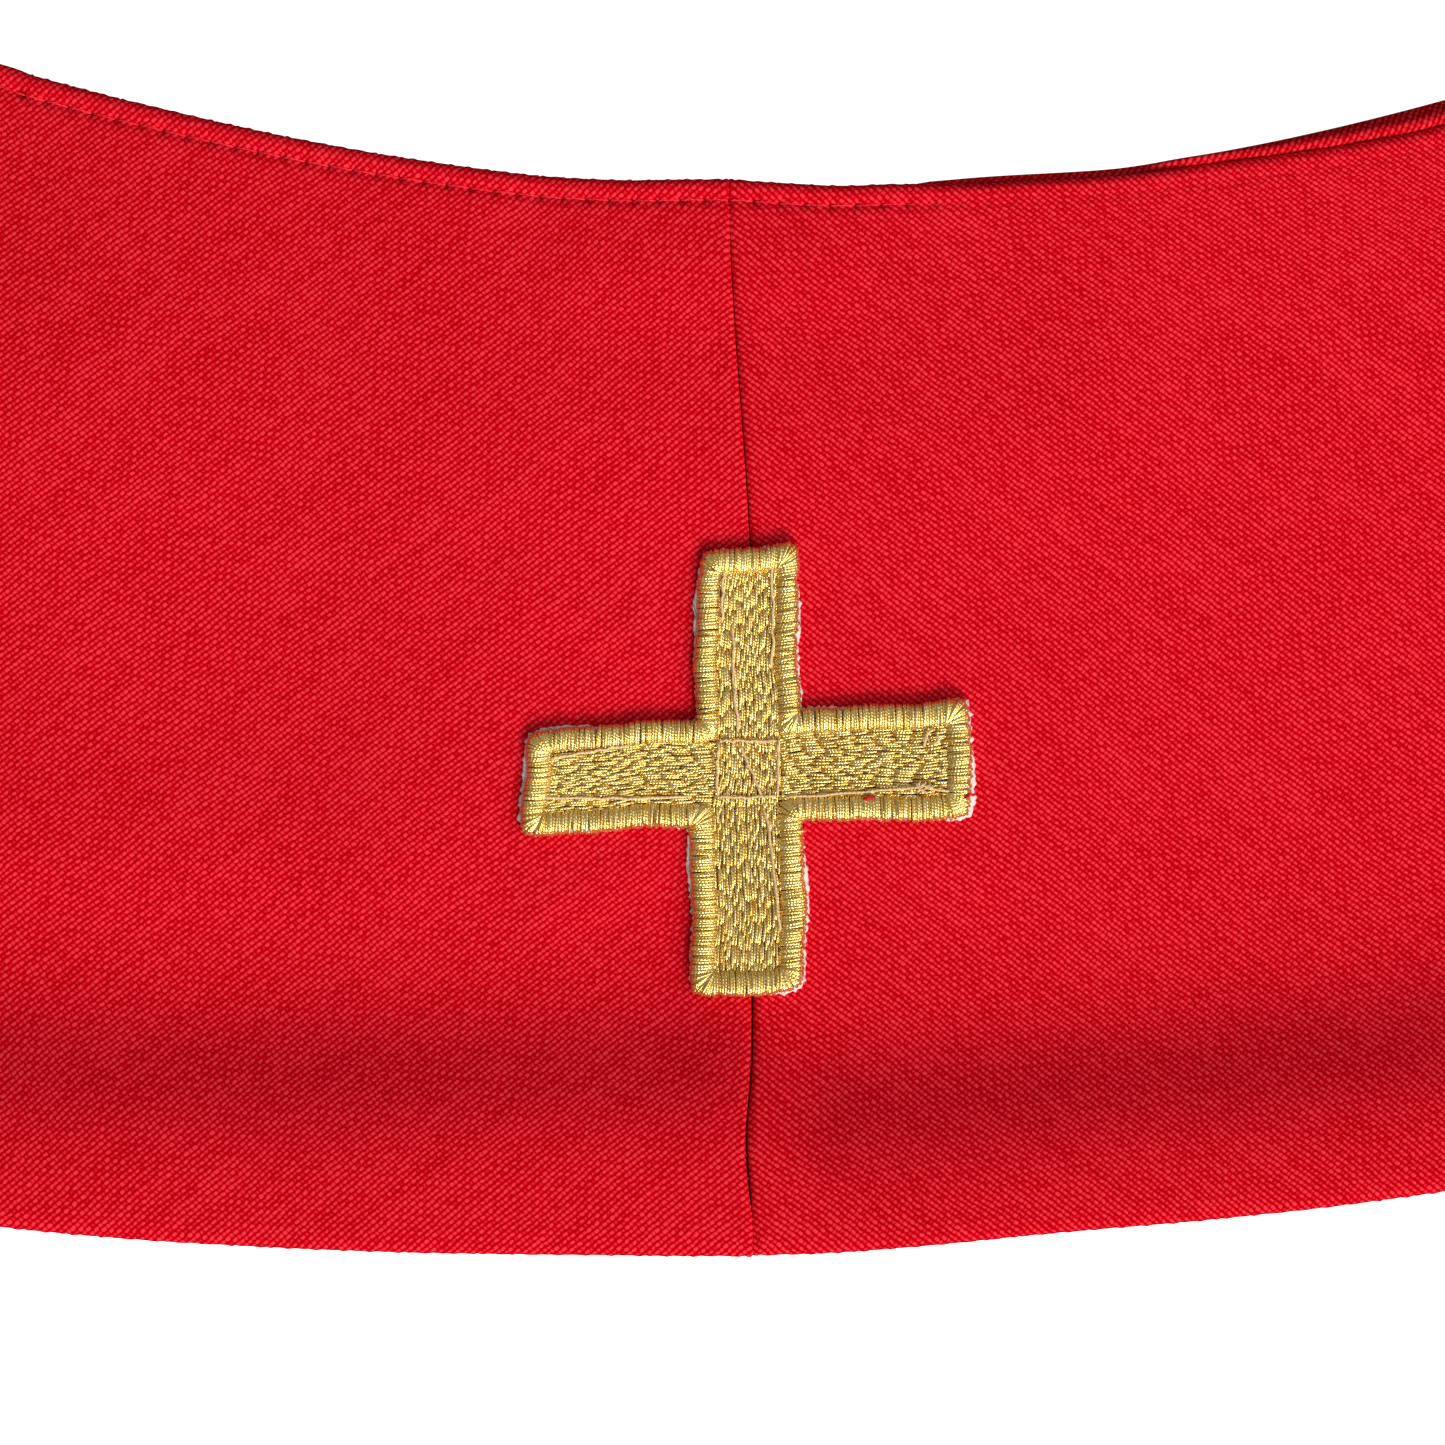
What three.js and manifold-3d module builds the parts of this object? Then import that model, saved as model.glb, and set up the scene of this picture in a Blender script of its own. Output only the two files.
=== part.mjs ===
// A priest's stole, laid flat with its lining down.
// Millimetres, +Z up. The band lies in a U: the back of the neck at -Y, both arms towards +Y.
// The origin is at the centre of the footprint, on the surface that the stole lies on.

import * as THREE from 'three';
import { mergeVertices } from 'three/addons/utils/BufferGeometryUtils.js';
import Module from 'manifold-3d';

const wasm = await Module();
wasm.setup();

// Driving dimensions of the band. Lengths along the band start at the centre-back seam.
const HALF_LENGTH = 1300; // centre-back seam to hem, along the middle of the band
const NECK_HALF_WIDTH = 59.5;
const SHOULDER_HALF_WIDTH = 62.5;
const END_HALF_WIDTH = 72.5;
const SHOULDER_STATION = 170; // where the band reaches its shoulder width
const BACK_RADIUS = 390; // gentle curve across the back of the neck
const BACK_LENGTH = 95;
const SHOULDER_RADIUS = 110; // tighter curve round the side of the neck
const SHOULDER_STEPS = 10;
const BACK_STEPS = 4;

// The cloth layers, from the surface up.
const GAP = 0.3; // clearance between neighbouring pieces
const LINING_THICKNESS = 0.6;
const FACE_THICKNESS = 0.6;
const INTERLINING_THICKNESS = 0.4;
const SEAM_ALLOWANCE = 12; // face cloth turned in all round
const LINING_INSET = 2; // lining edge, in from the folded edge
const THREAD = 0.4;
const JOIN_DEPTH = 0.1; // joined stretches of one cloth sink into each other by this

// The outer edge of the cloth stands up a little at the back of the neck.
const EDGE_RISE = 5;
const RISE_MARGIN = 2; // level cloth kept beyond the neck cross

// The stitching.
const TOPSTITCH_INSET = 2.4; // neck edge to the stitch line
const THREAD_END_INSET = 2; // seam threads stop this far inside the folded edges

// The crosses.
const NECK_CROSS = { span: 50, arm: 12.3, border: 2.4 };
const NECK_CROSS_OFFSET = -6; // from the middle of the band, towards the outer edge
const END_CROSS = { span: 80, arm: 19, border: 3.2 };
const END_CROSS_ABOVE_HEM = 200; // hem to the middle of the cross
const BACKING_THICKNESS = 0.7;
const BACKING_MARGIN = 0.3; // backing seen outside the border
const BORDER_THICKNESS = 1.0;
const BORDER_CROWN = 0.3;
const FILL_THICKNESS = 0.6;
const TACKING_WIDTH = 0.5;
const TACKING_THICKNESS = 0.3;
const CORNER_RADIUS = 1.2;

// Heights of the layers above the surface.
const LINING_TOP = LINING_THICKNESS;
const TURN_IN_BOTTOM = LINING_TOP + GAP;
const TURN_IN_TOP = TURN_IN_BOTTOM + FACE_THICKNESS;
const INTERLINING_BOTTOM = TURN_IN_TOP + GAP;
const INTERLINING_TOP = INTERLINING_BOTTOM + INTERLINING_THICKNESS;
const FACE_BOTTOM = INTERLINING_TOP + GAP;
const FACE_TOP = FACE_BOTTOM + FACE_THICKNESS;
const BACKING_BOTTOM = FACE_TOP + GAP;
const STITCH_BOTTOM = BACKING_BOTTOM + BACKING_THICKNESS + GAP;
const TACKING_BOTTOM = STITCH_BOTTOM + FILL_THICKNESS + GAP;

const SEAM_HALF_GAP = GAP + THREAD / 2; // each panel stops here, clear of the seam thread
const BACK_TURN = BACK_LENGTH / BACK_RADIUS;
const SHOULDER_LENGTH = SHOULDER_RADIUS * (Math.PI / 2 - BACK_TURN);
const ARM_START = BACK_LENGTH + SHOULDER_LENGTH;

// The middle line of the band at a distance from the centre-back seam: its place and heading.
function middleLine(distance) {
  const onBack = Math.min(distance, BACK_LENGTH) / BACK_RADIUS;
  const turned = THREE.MathUtils.clamp(distance - BACK_LENGTH, 0, SHOULDER_LENGTH);
  const heading = onBack + turned / SHOULDER_RADIUS;
  const straight = Math.max(distance - ARM_START, 0);
  return {
    x: BACK_RADIUS * Math.sin(onBack) + SHOULDER_RADIUS * (Math.sin(heading) - Math.sin(onBack)),
    y: BACK_RADIUS * (1 - Math.cos(onBack))
      + SHOULDER_RADIUS * (Math.cos(onBack) - Math.cos(heading)) + straight,
    heading,
  };
}


function halfWidth(distance) {
  const neckToShoulder = THREE.MathUtils.smoothstep(distance, 0, SHOULDER_STATION);
  const shoulderToEnd = Math.max(distance - SHOULDER_STATION, 0) / (HALF_LENGTH - SHOULDER_STATION);
  return THREE.MathUtils.lerp(NECK_HALF_WIDTH, SHOULDER_HALF_WIDTH, neckToShoulder)
    + (END_HALF_WIDTH - SHOULDER_HALF_WIDTH) * shoulderToEnd;
}

// Across the neck, the cloth is level under the cross and rises to the turn-in of the outer edge.
const RISE_TOP = SEAM_ALLOWANCE - NECK_HALF_WIDTH;
const RISE_FOOT = NECK_CROSS_OFFSET - NECK_CROSS.span / 2 - RISE_MARGIN;
const RISE_STATIONS = [0, 1 / 3, 2 / 3, 1].map((share) => THREE.MathUtils.lerp(RISE_TOP, RISE_FOOT, share));
const LEVEL_STATIONS = [1 / 3, 2 / 3].map((share) => THREE.MathUtils.lerp(RISE_FOOT, NECK_HALF_WIDTH, share));

function rise(distance, across) {
  const alongBand = 1 - THREE.MathUtils.smoothstep(distance, BACK_LENGTH, ARM_START);
  return EDGE_RISE * alongBand * (1 - THREE.MathUtils.smoothstep(across, RISE_TOP, RISE_FOOT));
}

// Lays a point of the flat pattern: along is negative on the left arm, across is positive towards
// the neck edge and is stated at neck width, and up is the height in the stack of layers.
function lay(along, across, up) {
  const distance = Math.abs(along);
  const side = along < 0 ? -1 : 1;
  const middle = middleLine(distance);
  const offset = across * halfWidth(distance) / NECK_HALF_WIDTH;
  return [
    side * (middle.x - offset * Math.sin(middle.heading)),
    middle.y + offset * Math.cos(middle.heading),
    up + rise(distance, across),
  ];
}

function layGeometry(geometry, patternOf) {
  const laid = geometry.clone();
  laid.deleteAttribute('normal');
  laid.deleteAttribute('uv');
  const position = laid.attributes.position;
  for (let i = 0; i < position.count; i += 1) {
    const [along, across, up] = patternOf(position.getX(i), position.getY(i), position.getZ(i));
    position.setXYZ(i, ...lay(along, across, up));
  }
  return mergeVertices(laid);
}

// Stations along one half of the band, between two distances from the centre-back seam.
const HALF_STATIONS = [
  SEAM_HALF_GAP + FACE_THICKNESS,
  SEAM_HALF_GAP + SEAM_ALLOWANCE,
  ...Array.from({ length: BACK_STEPS - 1 }, (_, i) => BACK_LENGTH * (i + 1.5) / BACK_STEPS),
  ...Array.from({ length: SHOULDER_STEPS + 1 }, (_, i) => BACK_LENGTH + SHOULDER_LENGTH * i / SHOULDER_STEPS),
  HALF_LENGTH - SEAM_ALLOWANCE,
  HALF_LENGTH - FACE_THICKNESS,
];

function stations(start, end, side) {
  const inside = HALF_STATIONS.filter((station) => station > start + GAP / 2 && station < end - GAP / 2);
  const list = [start, ...inside, end];
  return side < 0 ? list.map((station) => -station).reverse() : list;
}

function acrossStations(low, high) {
  const inside = [...RISE_STATIONS, ...LEVEL_STATIONS].filter((station) => station > low && station < high);
  return [low, ...inside, high];
}

// A layer of even thickness on given stations, bent onto the laid shape.
function layer(along, across, bottom, top) {
  const steps = [along.length - 1, across.length - 1];
  const box = new THREE.BoxGeometry(steps[0], steps[1], top - bottom, steps[0], steps[1], 1);
  return layGeometry(box, (x, y, z) => [
    along[Math.round(x + steps[0] / 2)],
    across[Math.round(y + steps[1] / 2)],
    z + (top + bottom) / 2,
  ]);
}

function toSolid(geometry) {
  return new wasm.Manifold(new wasm.Mesh({
    numProp: 3,
    vertProperties: new Float32Array(geometry.attributes.position.array),
    triVerts: new Uint32Array(geometry.index.array),
  }));
}

function toGeometry(solid) {
  const mesh = solid.getMesh();
  const geometry = new THREE.BufferGeometry();
  geometry.setAttribute('position', new THREE.BufferAttribute(mesh.vertProperties, 3));
  geometry.setIndex(new THREE.BufferAttribute(mesh.triVerts, 1));
  return geometry;
}

function join(geometries) {
  return toGeometry(geometries.map(toSolid).reduce((whole, next) => whole.add(next)));
}

// The pieces are placed from the middle of the band at the centre-back seam, and the whole stole is
// then moved so that its footprint is centred.
const stole = new THREE.Group();
stole.position.y = (NECK_HALF_WIDTH - middleLine(HALF_LENGTH).y) / 2;

function addPiece(name, geometry, material, position = [0, 0, 0]) {
  const mesh = new THREE.Mesh(geometry, material);
  mesh.name = name;
  mesh.position.set(...position);
  stole.add(mesh);
}

const faceCloth = new THREE.MeshStandardMaterial({ color: 0xd0102a, roughness: 0.75 });
const liningCloth = new THREE.MeshStandardMaterial({ color: 0x8e0a1a, roughness: 0.45 });
const canvas = new THREE.MeshStandardMaterial({ color: 0xe8e2d4, roughness: 0.9 });
const redThread = new THREE.MeshStandardMaterial({ color: 0xc01028, roughness: 0.6 });
const goldThread = new THREE.MeshStandardMaterial({ color: 0xd0ab45, roughness: 0.35, metalness: 0.8 });
const backingFelt = new THREE.MeshStandardMaterial({ color: 0xe9cfc8, roughness: 0.95 });
const tanThread = new THREE.MeshStandardMaterial({ color: 0xb08a5a, roughness: 0.7 });

// Face panel: the top cloth and the edge turned in along both sides as one section, swept along the
// band, with the turn-ins of the centre-back seam and of the hem joined to it.
function facePanel(side) {
  const along = stations(SEAM_HALF_GAP, HALF_LENGTH, side);
  const edge = NECK_HALF_WIDTH;
  const inside = edge - FACE_THICKNESS;
  const turned = edge - SEAM_ALLOWANCE;
  const section = new THREE.Shape([
    ...acrossStations(-edge, edge).map((across) => new THREE.Vector2(across, FACE_TOP)),
    new THREE.Vector2(edge, TURN_IN_BOTTOM),
    new THREE.Vector2(turned, TURN_IN_BOTTOM),
    new THREE.Vector2(turned, TURN_IN_TOP),
    new THREE.Vector2(inside, TURN_IN_TOP),
    ...acrossStations(-inside, inside).reverse().map((across) => new THREE.Vector2(across, FACE_BOTTOM)),
    new THREE.Vector2(-inside, TURN_IN_TOP),
    new THREE.Vector2(-turned, TURN_IN_TOP),
    new THREE.Vector2(-turned, TURN_IN_BOTTOM),
    new THREE.Vector2(-edge, TURN_IN_BOTTOM),
  ]);
  const steps = along.length - 1;
  const swept = new THREE.ExtrudeGeometry(section, { depth: steps, steps, bevelEnabled: false });
  const pieces = [layGeometry(swept, (x, y, z) => [along[Math.round(z)], x, y])];

  const sunkEdge = edge - FACE_THICKNESS / 2;
  const across = acrossStations(-sunkEdge, sunkEdge);
  const foldMiddle = (FACE_BOTTOM + FACE_TOP) / 2;
  for (const [fold, inward] of [[SEAM_HALF_GAP, 1], [HALF_LENGTH, -1]]) {
    const strip = (start, end) => [start, end]
      .map((depth) => side * (fold + inward * depth))
      .sort((a, b) => a - b);
    const foldWall = strip(JOIN_DEPTH, FACE_THICKNESS);
    const turnIn = strip(2 * JOIN_DEPTH, SEAM_ALLOWANCE);
    pieces.push(
      layer(foldWall, across, TURN_IN_BOTTOM + JOIN_DEPTH / 2, foldMiddle),
      layer(turnIn, across, TURN_IN_BOTTOM + JOIN_DEPTH, TURN_IN_TOP - JOIN_DEPTH),
    );
  }
  return join(pieces);
}

// Interlining: stiff canvas inside the folded edges.
function interlining(side) {
  const clear = FACE_THICKNESS + GAP;
  return layer(
    stations(SEAM_HALF_GAP + clear, HALF_LENGTH - clear, side),
    acrossStations(clear - NECK_HALF_WIDTH, NECK_HALF_WIDTH - clear),
    INTERLINING_BOTTOM,
    INTERLINING_TOP,
  );
}

const LINING_HALF_WIDTH = NECK_HALF_WIDTH - LINING_INSET;

function lining(side) {
  return layer(
    stations(SEAM_HALF_GAP, HALF_LENGTH - LINING_INSET, side),
    acrossStations(-LINING_HALF_WIDTH, LINING_HALF_WIDTH),
    0,
    LINING_TOP,
  );
}

// Slip stitching: one thread round the three free edges of the lining, in the step under the fold.
function slipStitching(side) {
  const reach = LINING_HALF_WIDTH + GAP + THREAD;
  const end = HALF_LENGTH - LINING_INSET + GAP + THREAD;
  const bottom = (LINING_TOP - THREAD) / 2;
  const top = bottom + THREAD;
  const along = stations(SEAM_HALF_GAP, end, side);
  const hem = side < 0 ? [-end, THREAD - end] : [end - THREAD, end];
  return join([
    layer(along, [-reach, THREAD - reach], bottom, top),
    layer(along, [reach - THREAD, reach], bottom, top),
    layer(hem, [-reach, reach], bottom, top),
  ]);
}

for (const [name, side] of [['left', -1], ['right', 1]]) {
  addPiece(`face_panel_${name}`, facePanel(side), faceCloth);
  addPiece(`interlining_${name}`, interlining(side), canvas);
  addPiece(`lining_${name}`, lining(side), liningCloth);
  addPiece(`lining_slipstitch_${name}`, slipStitching(side), redThread);
}

// The two centre-back seams, each held by a thread between the panels.
function seamThread(bottom, reach) {
  return layer([-THREAD / 2, THREAD / 2], acrossStations(-reach, reach), bottom, bottom + THREAD);
}

const SEAM_THREAD_REACH = NECK_HALF_WIDTH - THREAD_END_INSET;
addPiece('centre_seam_thread', seamThread(TURN_IN_TOP, SEAM_THREAD_REACH), redThread);
addPiece(
  'lining_seam_thread',
  seamThread((LINING_TOP - THREAD) / 2, LINING_HALF_WIDTH - THREAD_END_INSET),
  redThread,
);

// Topstitching: one thread round the neck edge from shoulder to shoulder.
const topstitchLine = NECK_HALF_WIDTH - TOPSTITCH_INSET;
addPiece(
  'neck_topstitch_thread',
  layer(
    [...stations(SEAM_HALF_GAP, ARM_START, -1), ...stations(SEAM_HALF_GAP, ARM_START, 1)],
    [topstitchLine - THREAD / 2, topstitchLine + THREAD / 2],
    FACE_TOP + GAP,
    FACE_TOP + GAP + THREAD,
  ),
  redThread,
);

// Outline of a cross with four like arms, its outward corners rounded.
function crossOutline(span, arm, radius, outline = new THREE.Shape()) {
  const half = arm / 2;
  const reach = span / 2;
  const quarter = [
    [half, reach - radius, half, reach, half - radius, reach],
    [radius - half, reach, -half, reach, -half, reach - radius],
  ];
  const turn = (x, y, k) => [[x, y], [-y, x], [-x, -y], [y, -x]][k];
  for (let k = 0; k < 4; k += 1) {
    for (const [x0, y0, cornerX, cornerY, x1, y1] of quarter) {
      if (k === 0 && x0 === half) outline.moveTo(...turn(x0, y0, k));
      else outline.lineTo(...turn(x0, y0, k));
      outline.quadraticCurveTo(...turn(cornerX, cornerY, k), ...turn(x1, y1, k));
    }
    outline.lineTo(...turn(-half, half, k));
  }
  outline.closePath();
  return outline;
}

function raise(shape, thickness, bevel = 0) {
  return mergeVertices(new THREE.ExtrudeGeometry(shape, {
    depth: thickness - 2 * bevel,
    bevelEnabled: bevel > 0,
    bevelThickness: bevel,
    bevelSize: bevel,
    bevelOffset: -bevel,
    bevelSegments: 1,
    curveSegments: 3,
  }).translate(0, 0, bevel));
}

// An embroidered cross: felt backing, satin-stitch border, filling stitches in four arms and a
// centre, and the guide thread tacked round and across the centre.
function addCross(name, { span, arm, border }, [x, y, base]) {
  const outerSpan = span - 2 * BACKING_MARGIN;
  const outerArm = arm - 2 * BACKING_MARGIN;
  const channelSpan = outerSpan - 2 * border;
  const channelArm = outerArm - 2 * border;

  addPiece(
    `${name}_backing`,
    raise(crossOutline(span, arm, CORNER_RADIUS), BACKING_THICKNESS),
    backingFelt,
    [x, y, base + BACKING_BOTTOM],
  );

  const ring = crossOutline(outerSpan, outerArm, CORNER_RADIUS);
  ring.holes.push(crossOutline(channelSpan, channelArm, CORNER_RADIUS / 2, new THREE.Path()));
  addPiece(`${name}_border`, raise(ring, BORDER_THICKNESS, BORDER_CROWN), goldThread, [x, y, base + STITCH_BOTTOM]);

  const fillWidth = channelArm - 2 * GAP;
  const fillLength = (channelSpan - fillWidth) / 2 - 2 * GAP;
  const fillMiddle = fillWidth / 2 + GAP + fillLength / 2;
  const fillHeight = base + STITCH_BOTTOM + FILL_THICKNESS / 2;
  for (const [part, dx, dy] of [['top', 0, 1], ['bottom', 0, -1], ['left', -1, 0], ['right', 1, 0]]) {
    const size = dx === 0 ? [fillWidth, fillLength] : [fillLength, fillWidth];
    addPiece(
      `${name}_fill_${part}`,
      new THREE.BoxGeometry(...size, FILL_THICKNESS),
      goldThread,
      [x + dx * fillMiddle, y + dy * fillMiddle, fillHeight],
    );
  }
  addPiece(
    `${name}_centre`,
    new THREE.BoxGeometry(fillWidth, fillWidth, FILL_THICKNESS),
    goldThread,
    [x, y, fillHeight],
  );

  const edge = fillWidth / 2;
  const inner = edge - TACKING_WIDTH;
  const slant = inner - TACKING_WIDTH;
  const tacking = new THREE.Shape([[-edge, -edge], [edge, -edge], [edge, edge], [-edge, edge]]
    .map((corner) => new THREE.Vector2(...corner)));
  for (const way of [-1, 1]) {
    tacking.holes.push(new THREE.Path([[way * inner, way * inner], [-way * slant, way * inner], [way * inner, -way * slant]]
      .map((corner) => new THREE.Vector2(...corner))));
  }
  addPiece(`${name}_tacking`, raise(tacking, TACKING_THICKNESS), tanThread, [x, y, base + TACKING_BOTTOM]);
}

addCross('neck_cross', NECK_CROSS, [0, NECK_CROSS_OFFSET, 0]);
const endCrossLine = middleLine(HALF_LENGTH - END_CROSS_ABOVE_HEM);
addCross('left_end_cross', END_CROSS, [-endCrossLine.x, endCrossLine.y, 0]);
addCross('right_end_cross', END_CROSS, [endCrossLine.x, endCrossLine.y, 0]);

export default stole;
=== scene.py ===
import math

import bpy
import numpy as np
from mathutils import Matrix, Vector


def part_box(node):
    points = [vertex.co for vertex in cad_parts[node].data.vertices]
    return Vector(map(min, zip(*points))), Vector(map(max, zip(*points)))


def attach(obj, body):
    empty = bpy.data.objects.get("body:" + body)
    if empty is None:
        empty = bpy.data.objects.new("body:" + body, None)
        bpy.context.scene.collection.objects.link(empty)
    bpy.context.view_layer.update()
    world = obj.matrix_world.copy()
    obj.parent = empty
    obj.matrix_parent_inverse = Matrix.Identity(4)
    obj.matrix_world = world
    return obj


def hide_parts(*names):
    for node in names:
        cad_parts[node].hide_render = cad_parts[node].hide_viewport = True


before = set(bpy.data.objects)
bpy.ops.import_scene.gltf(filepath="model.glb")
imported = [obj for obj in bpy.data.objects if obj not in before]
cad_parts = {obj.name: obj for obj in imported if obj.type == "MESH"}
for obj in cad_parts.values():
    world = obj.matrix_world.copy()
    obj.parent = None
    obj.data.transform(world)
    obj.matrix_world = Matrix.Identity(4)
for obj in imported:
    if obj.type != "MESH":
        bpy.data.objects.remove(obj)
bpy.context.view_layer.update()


# ---- Table and light ---------------------------------------------------------------------------
# A white table top under one broad light low from the near right, a weak one from beyond the neck
# edge, and a pale sky that is darker straight overhead so that the gold thread has contrast.

MM = 0.001
SEAM_THREAD_REACH = 57.5
CAMERA_HEIGHT = 450.6
SIDE_LIGHT_PLACE = (0.6, -0.05, 0.42)

# The frame's origin is in the middle of the U. The neck point is the middle of the centre seam.
neck_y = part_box("centre_seam_thread")[0][1] + SEAM_THREAD_REACH * MM

bpy.ops.object.camera_add(location=(-2.5 * MM, neck_y - 0.7 * MM, CAMERA_HEIGHT * MM))
camera = bpy.context.object
camera.data.lens = 100
camera.data.sensor_width = 36
camera.data.clip_start = 0.02
bpy.context.scene.camera = camera
bpy.context.scene.view_settings.view_transform = "Standard"

bpy.ops.mesh.primitive_plane_add(size=8)
table = bpy.context.object
table.name = "table_top"
white = bpy.data.materials.new("white table")
white.use_nodes = True
shader = white.node_tree.nodes["Principled BSDF"]
shader.inputs["Base Color"].default_value = (0.94, 0.94, 0.94, 1)
shader.inputs["Roughness"].default_value = 0.9
shader.inputs["Emission Color"].default_value = (1, 1, 1, 1)
shader.inputs["Emission Strength"].default_value = 1.0
table.data.materials.append(white)
table.visible_diffuse = False
table.visible_glossy = False


def soft_light(name, towards, strength, spread):
    bpy.ops.object.light_add(type="SUN")
    light = bpy.context.object
    light.name = name
    light.data.energy = strength
    light.data.angle = math.radians(spread)
    light.rotation_mode = "QUATERNION"
    light.rotation_quaternion = Vector(towards).to_track_quat("Z", "Y")


soft_light("key light", (0.34, -0.80, 0.76), 3.3, 26)
soft_light("far light", (-0.4, 0.7, 1.0), 0.2, 50)
light_x, light_y, light_z = SIDE_LIGHT_PLACE
bpy.ops.object.light_add(type="AREA", location=(light_x, neck_y + light_y, light_z))
beside = bpy.context.object
beside.name = "side light"
beside.data.size = 0.35
beside.data.energy = 1.9
beside.rotation_mode = "QUATERNION"
beside.rotation_quaternion = Vector(SIDE_LIGHT_PLACE).to_track_quat("Z", "Y")

sky = bpy.data.worlds.new("pale sky")
bpy.context.scene.world = sky
sky.use_nodes = True
nodes, links = sky.node_tree.nodes, sky.node_tree.links
place = nodes.new("ShaderNodeTexCoord")
split = nodes.new("ShaderNodeSeparateXYZ")
ramp = nodes.new("ShaderNodeValToRGB")
links.new(place.outputs["Generated"], split.inputs[0])
links.new(split.outputs["Z"], ramp.inputs[0])
ramp.color_ramp.elements[0].position = 0.0
ramp.color_ramp.elements[0].color = (0.40, 0.38, 0.37, 1)
ramp.color_ramp.elements[1].position = 0.95
ramp.color_ramp.elements[1].color = (0.46, 0.47, 0.48, 1)
ramp.color_ramp.elements.new(0.3).color = (0.86, 0.88, 0.90, 1)
links.new(ramp.outputs[0], nodes["Background"].inputs["Color"])
nodes["Background"].inputs["Strength"].default_value = 0.31


# ---- How the band lies -------------------------------------------------------------------------
# The band is cut as two mirrored lengths that curve gently behind the neck, more tightly round its
# sides, and run straight to the hems. All its layers follow this one lie, in millimetres.

HALF_LENGTH = 1300
NECK_HALF_WIDTH = 59.5
SHOULDER_HALF_WIDTH = 62.5
END_HALF_WIDTH = 72.5
SHOULDER_STATION = 170
BACK_RADIUS = 390
BACK_LENGTH = 95
SHOULDER_RADIUS = 110
BACK_TURN = BACK_LENGTH / BACK_RADIUS
SHOULDER_LENGTH = SHOULDER_RADIUS * (math.pi / 2 - BACK_TURN)
ARM_START = BACK_LENGTH + SHOULDER_LENGTH
ARM_X = BACK_RADIUS * math.sin(BACK_TURN) + SHOULDER_RADIUS * (1 - math.sin(BACK_TURN))
ARM_Y = BACK_RADIUS * (1 - math.cos(BACK_TURN)) + SHOULDER_RADIUS * math.cos(BACK_TURN)
EDGE_RISE = 8.6
RISE_WIDTH = 8.0
LEAST_HEIGHT = 0.3


def ease(value, low, high):
    share = np.clip((value - low) / (high - low), 0, 1)
    return share * share * (3 - 2 * share)


def swell(x, y, start, end, width, height):
    """A low ridge, or a hollow if its height is negative, along a line in the cloth."""
    reach_x, reach_y = end[0] - start[0], end[1] - start[1]
    share = ((x - start[0]) * reach_x + (y - start[1]) * reach_y) / (reach_x ** 2 + reach_y ** 2)
    share = np.clip(share, 0, 1)
    gap = np.hypot(x - start[0] - share * reach_x, y - start[1] - share * reach_y)
    return height * np.exp(-(gap / width) ** 2)


def half_width(distance):
    shoulder = SHOULDER_HALF_WIDTH - NECK_HALF_WIDTH
    past_shoulder = np.maximum(distance - SHOULDER_STATION, 0) / (HALF_LENGTH - SHOULDER_STATION)
    half = NECK_HALF_WIDTH + shoulder * ease(distance, 0, SHOULDER_STATION)
    return half + (END_HALF_WIDTH - SHOULDER_HALF_WIDTH) * past_shoulder


def flat_place(along, across):
    """Where a point of the flat cut lies in the U, before the cloth eases."""
    distance, side = np.abs(along), np.sign(along) + (along == 0)
    on_back = np.minimum(distance, BACK_LENGTH) / BACK_RADIUS
    heading = on_back + np.clip(distance - BACK_LENGTH, 0, SHOULDER_LENGTH) / SHOULDER_RADIUS
    x = BACK_RADIUS * np.sin(on_back) + SHOULDER_RADIUS * (np.sin(heading) - np.sin(on_back))
    y = BACK_RADIUS * (1 - np.cos(on_back)) + SHOULDER_RADIUS * (np.cos(on_back) - np.cos(heading))
    y = y + np.maximum(distance - ARM_START, 0)
    offset = across * half_width(distance) / NECK_HALF_WIDTH
    return side * (x - offset * np.sin(heading)), y + offset * np.cos(heading)


def height(along, across):
    """How far the cloth stands off the table: most along the outer edge behind the neck."""
    distance = np.abs(along)
    x, y = flat_place(along, across)
    near_neck = 1 - ease(distance, BACK_LENGTH, ARM_START)
    # The outer edge starts to rise along this line, which is not the same left and right.
    left_foot = -38.4 - 5.3 * np.minimum(distance / 80, 1.5)
    right_foot = -44.5 + 2.3 * np.minimum(distance / 78, 1.5)
    foot = left_foot + (right_foot - left_foot) * ease(along, -5, 9)
    level = LEAST_HEIGHT + 0.5 * EDGE_RISE * (1 - np.tanh((across - foot) / RISE_WIDTH))
    # Away from the seam the cloth stands a little higher, most on the left.
    level = level + (1.8 * ease(-x, -5, 45) + 2.6 * ease(-x, 45, 90)) * (1 - ease(y, 28, 74))
    level = level + (1.2 * ease(-x, 10, 50) + 0.7 * ease(x, 45, 80)) * (1 - ease(y, -34, 16))
    # Low swells: one on from the cross's left arm, two above the cross, three close round its arms.
    level = level + swell(x, y, (-120, -12), (-40, -14), 9, 0.8) * ease(-x, 10, 60)
    level = level + swell(x, y, (-20, 30), (34, 32), 12, 0.6)
    level = level + swell(x, y, (-16, 50), (8, 50), 6, 0.55)
    level = level + swell(x, y, (-26, 14), (-13, 9), 3, 0.3) + swell(x, y, (16, -12), (25, -18), 3, 0.3)
    level = level + swell(x, y, (-22, -21), (-13, -17), 3, 0.3)
    # Down the arms it ripples slightly, each arm in its own way.
    down_arm = ease(distance, ARM_START - 60, ARM_START + 120)
    lean = np.where(along < 0, 0.6, 2.1)
    ripple = 0.9 * (1 + np.sin(distance / 58 + across / 40 + lean))
    ripple = ripple + 0.6 * (1 + np.sin(distance / 27 - across / 33 + 2 * lean))
    return np.maximum(near_neck * level, 0) + down_arm * ripple


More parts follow.
